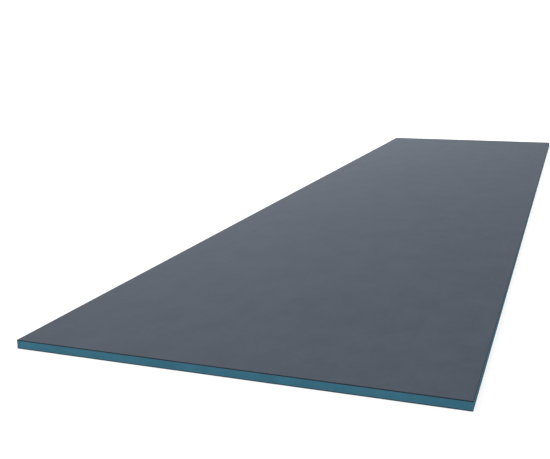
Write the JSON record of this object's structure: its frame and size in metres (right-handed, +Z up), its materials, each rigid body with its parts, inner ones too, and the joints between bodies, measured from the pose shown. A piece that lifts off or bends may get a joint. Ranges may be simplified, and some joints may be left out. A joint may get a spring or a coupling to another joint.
{
  "type": "xps underlay board",
  "caption": "Long flat foam building board with a thin cement coating on both faces, laid as insulating underlay or as tile backing.",
  "frame": {"origin": "centre of the board's lower face", "axes": "+X along the board's length, +Y across its width, +Z up through its thickness; the picture's near end is at -X"},
  "size_m": [2.5, 0.6, 0.0125],
  "materials": {
    "blue_foam": "matte sawn edge with fine closed cells",
    "cement_coating": "fine sanded cement render over a glass mesh, faint satin sheen"
  },
  "bodies": {
    "root": {"foam_core": "blue_foam", "top_coating": "cement_coating", "bottom_coating": "cement_coating"}
  },
  "joints": []
}
